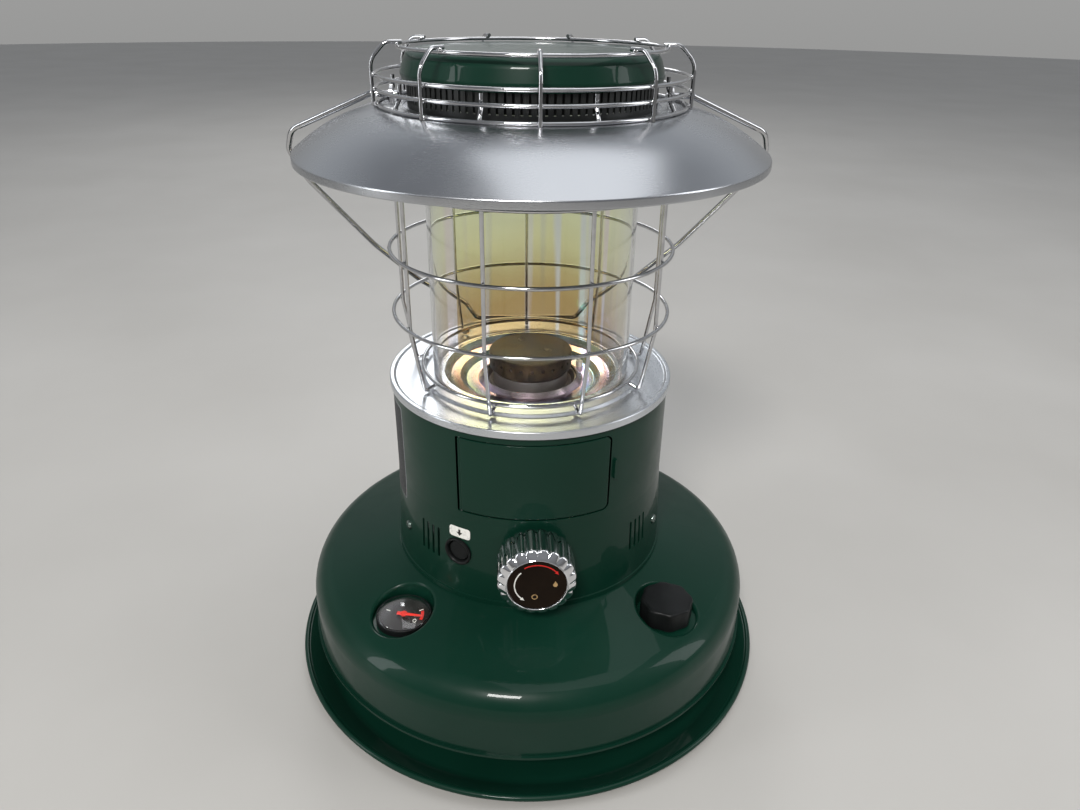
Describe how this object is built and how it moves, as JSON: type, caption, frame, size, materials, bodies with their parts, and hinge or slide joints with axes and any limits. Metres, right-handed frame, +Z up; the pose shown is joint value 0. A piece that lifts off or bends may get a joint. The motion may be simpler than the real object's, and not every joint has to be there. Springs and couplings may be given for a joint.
{
  "type": "kerosene heater",
  "caption": "Free-standing lantern-style kerosene heater with a glass chimney in a wire guard, reflector shade, wick knob, drip tray and swinging handle.",
  "frame": {"origin": "middle of the drip tray's underside, on the floor", "axes": "+Z up; -Y is the front with the knob; +X to the right seen from the front"},
  "size_m": [0.3879, 0.388, 0.4744],
  "materials": {
    "green_enamel": "deep green gloss enamel",
    "black_steel": "heat-darkened black steel",
    "satin_stainless": "satin stainless sheet",
    "bright_wire": "bright drawn and plated wire",
    "polished_steel": "polished stainless pressing",
    "plain_steel": "plain steel",
    "drawn_brass": "turned brass",
    "knob_chrome": "bright chrome on a fluted moulding",
    "knob_face": null,
    "black_plastic": "black moulded plastic",
    "dial_black": "black printed dial",
    "pointer_red": "red",
    "clear_glass": "clear",
    "rainbow_glass": "clear heat glass with a thin iridescent tint",
    "wick_felt": "woven glass and cotton wick",
    "black_rubber": "oil-proof rubber",
    "float_foam": "closed-cell float",
    "cell_wrap": "plain cell wrapper",
    "white_ceramic": "ceramic",
    "grey_iron": "cast weight"
  },
  "bodies": {
    "heater": {"drip_tray": "green_enamel", "stand_ring": "black_steel", "tank_lower_shell": "green_enamel", "tank_upper_shell": "green_enamel", "filler_neck": "plain_steel", "filler_strainer": "plain_steel", "gauge_housing": "black_plastic", "gauge_dial": "dial_black", "gauge_bezel": "black_plastic", "gauge_lens": "clear_glass", "body_shell": "green_enamel", "body_screws": "polished_steel", "top_plate": "satin_stainless", "door_hinge_pins": "plain_steel", "hatch_catch": "polished_steel", "battery_case": "black_plastic", "battery_cells": "cell_wrap", "inner_wick_tube": "plain_steel", "outer_wick_tube": "plain_steel", "gear_housing": "plain_steel", "shaft_bush": "drawn_brass", "return_spring": "plain_steel", "burner_dish": "polished_steel", "flame_spreader": "black_steel", "igniter": "white_ceramic", "button_bezel": "black_plastic", "lever_post": "plain_steel", "tip_bracket": "plain_steel", "glass_chimney": "rainbow_glass", "shade": "satin_stainless", "chimney_collar": "satin_stainless", "heat_drum": "black_steel", "heat_baffle": "plain_steel", "top_cap": "green_enamel", "lower_guard_uprights": "bright_wire", "lower_guard_rings": "bright_wire", "lower_guard_base_ring": "bright_wire", "top_guard_uprights": "bright_wire", "top_guard_rings": "bright_wire", "top_guard_crown": "bright_wire", "handle_brackets": "polished_steel"},
    "filler_gasket": {"filler_gasket": "black_rubber"},
    "filler_cap": {"filler_cap": "black_plastic"},
    "gauge_pointer": {"gauge_pointer": "pointer_red"},
    "float_arm": {"float_arm": "plain_steel", "fuel_float": "float_foam"},
    "front_hatch": {"front_hatch": "green_enamel"},
    "battery_lid": {"battery_lid": "green_enamel"},
    "knob": {"knob": "knob_chrome", "knob_insert": "knob_face", "knob_shaft": "plain_steel", "pinion": "drawn_brass", "ratchet_wheel": "drawn_brass"},
    "wick": {"wick": "wick_felt", "wick_carrier": "plain_steel"},
    "emergency_button": {"emergency_button": "black_plastic", "button_spring": "plain_steel"},
    "release_lever": {"release_lever": "plain_steel"},
    "tip_weight": {"tip_weight": "grey_iron"},
    "handle": {"handle": "bright_wire"}
  },
  "joints": [
    {"name": "cap_lift", "type": "slide", "parent": "heater", "child": "filler_gasket", "axis": [0, 0, 1], "range_m": [0, 0.0046]},
    {"name": "cap_turn", "type": "hinge", "parent": "filler_gasket", "child": "filler_cap", "pos_m": [0.0983, -0.09968, 0.092], "axis": [0, 0, 1], "range_deg": [0, 540]},
    {"name": "float_swing", "type": "hinge", "parent": "heater", "child": "float_arm", "pos_m": [-0.09631, -0.09531, 0.064], "axis": [0.7108, 0.7034, 0], "range_deg": [0, 40]},
    {"name": "gauge_turn", "type": "hinge", "parent": "heater", "child": "gauge_pointer", "pos_m": [-0.09631, -0.09531, 0.087], "axis": [0, 0, 1], "range_deg": [0, 140.5]},
    {"name": "hatch_swing", "type": "hinge", "parent": "heater", "child": "front_hatch", "pos_m": [-0.051, -0.08833, 0.206], "axis": [0, 0, -1], "range_deg": [0, 100]},
    {"name": "battery_lid_swing", "type": "hinge", "parent": "heater", "child": "battery_lid", "pos_m": [0.031, 0.09717, 0.206], "axis": [0, 0, -1], "range_deg": [0, 100]},
    {"name": "knob_turn", "type": "hinge", "parent": "heater", "child": "knob", "pos_m": [0, -0.12, 0.148], "axis": [0, 1, 0], "range_deg": [0, 110]},
    {"name": "wick_lift", "type": "slide", "parent": "heater", "child": "wick", "axis": [0, 0, 1], "range_m": [0, 0.0116]},
    {"name": "button_push", "type": "slide", "parent": "heater", "child": "emergency_button", "axis": [0.5225, 0.8526, 0], "range_m": [0, 0.004], "stiffness_N_per_m": 300, "springref_m": -0.002},
    {"name": "lever_swing", "type": "hinge", "parent": "heater", "child": "release_lever", "pos_m": [-0.02354, -0.0767, 0.143], "axis": [0, 0, 1], "range_deg": [-12, 0]},
    {"name": "tip_swing", "type": "hinge", "parent": "heater", "child": "tip_weight", "pos_m": [0.07, 0.02, 0.17], "axis": [0, 1, 0], "range_deg": [-10, 10]},
    {"name": "handle_swing", "type": "hinge", "parent": "heater", "child": "handle", "pos_m": [0, 0, 0.4418], "axis": [1, 0, 0], "range_deg": [0, 302]}
  ],
  "couplings": [
    {"joint": "cap_lift", "follows": "cap_turn", "m_per_rad": 0.00047746},
    {"joint": "gauge_turn", "follows": "float_swing", "ratio": 3.5},
    {"joint": "wick_lift", "follows": "knob_turn", "m_per_rad": 0.006},
    {"joint": "lever_swing", "follows": "button_push", "rad_per_m": -50}
  ]
}
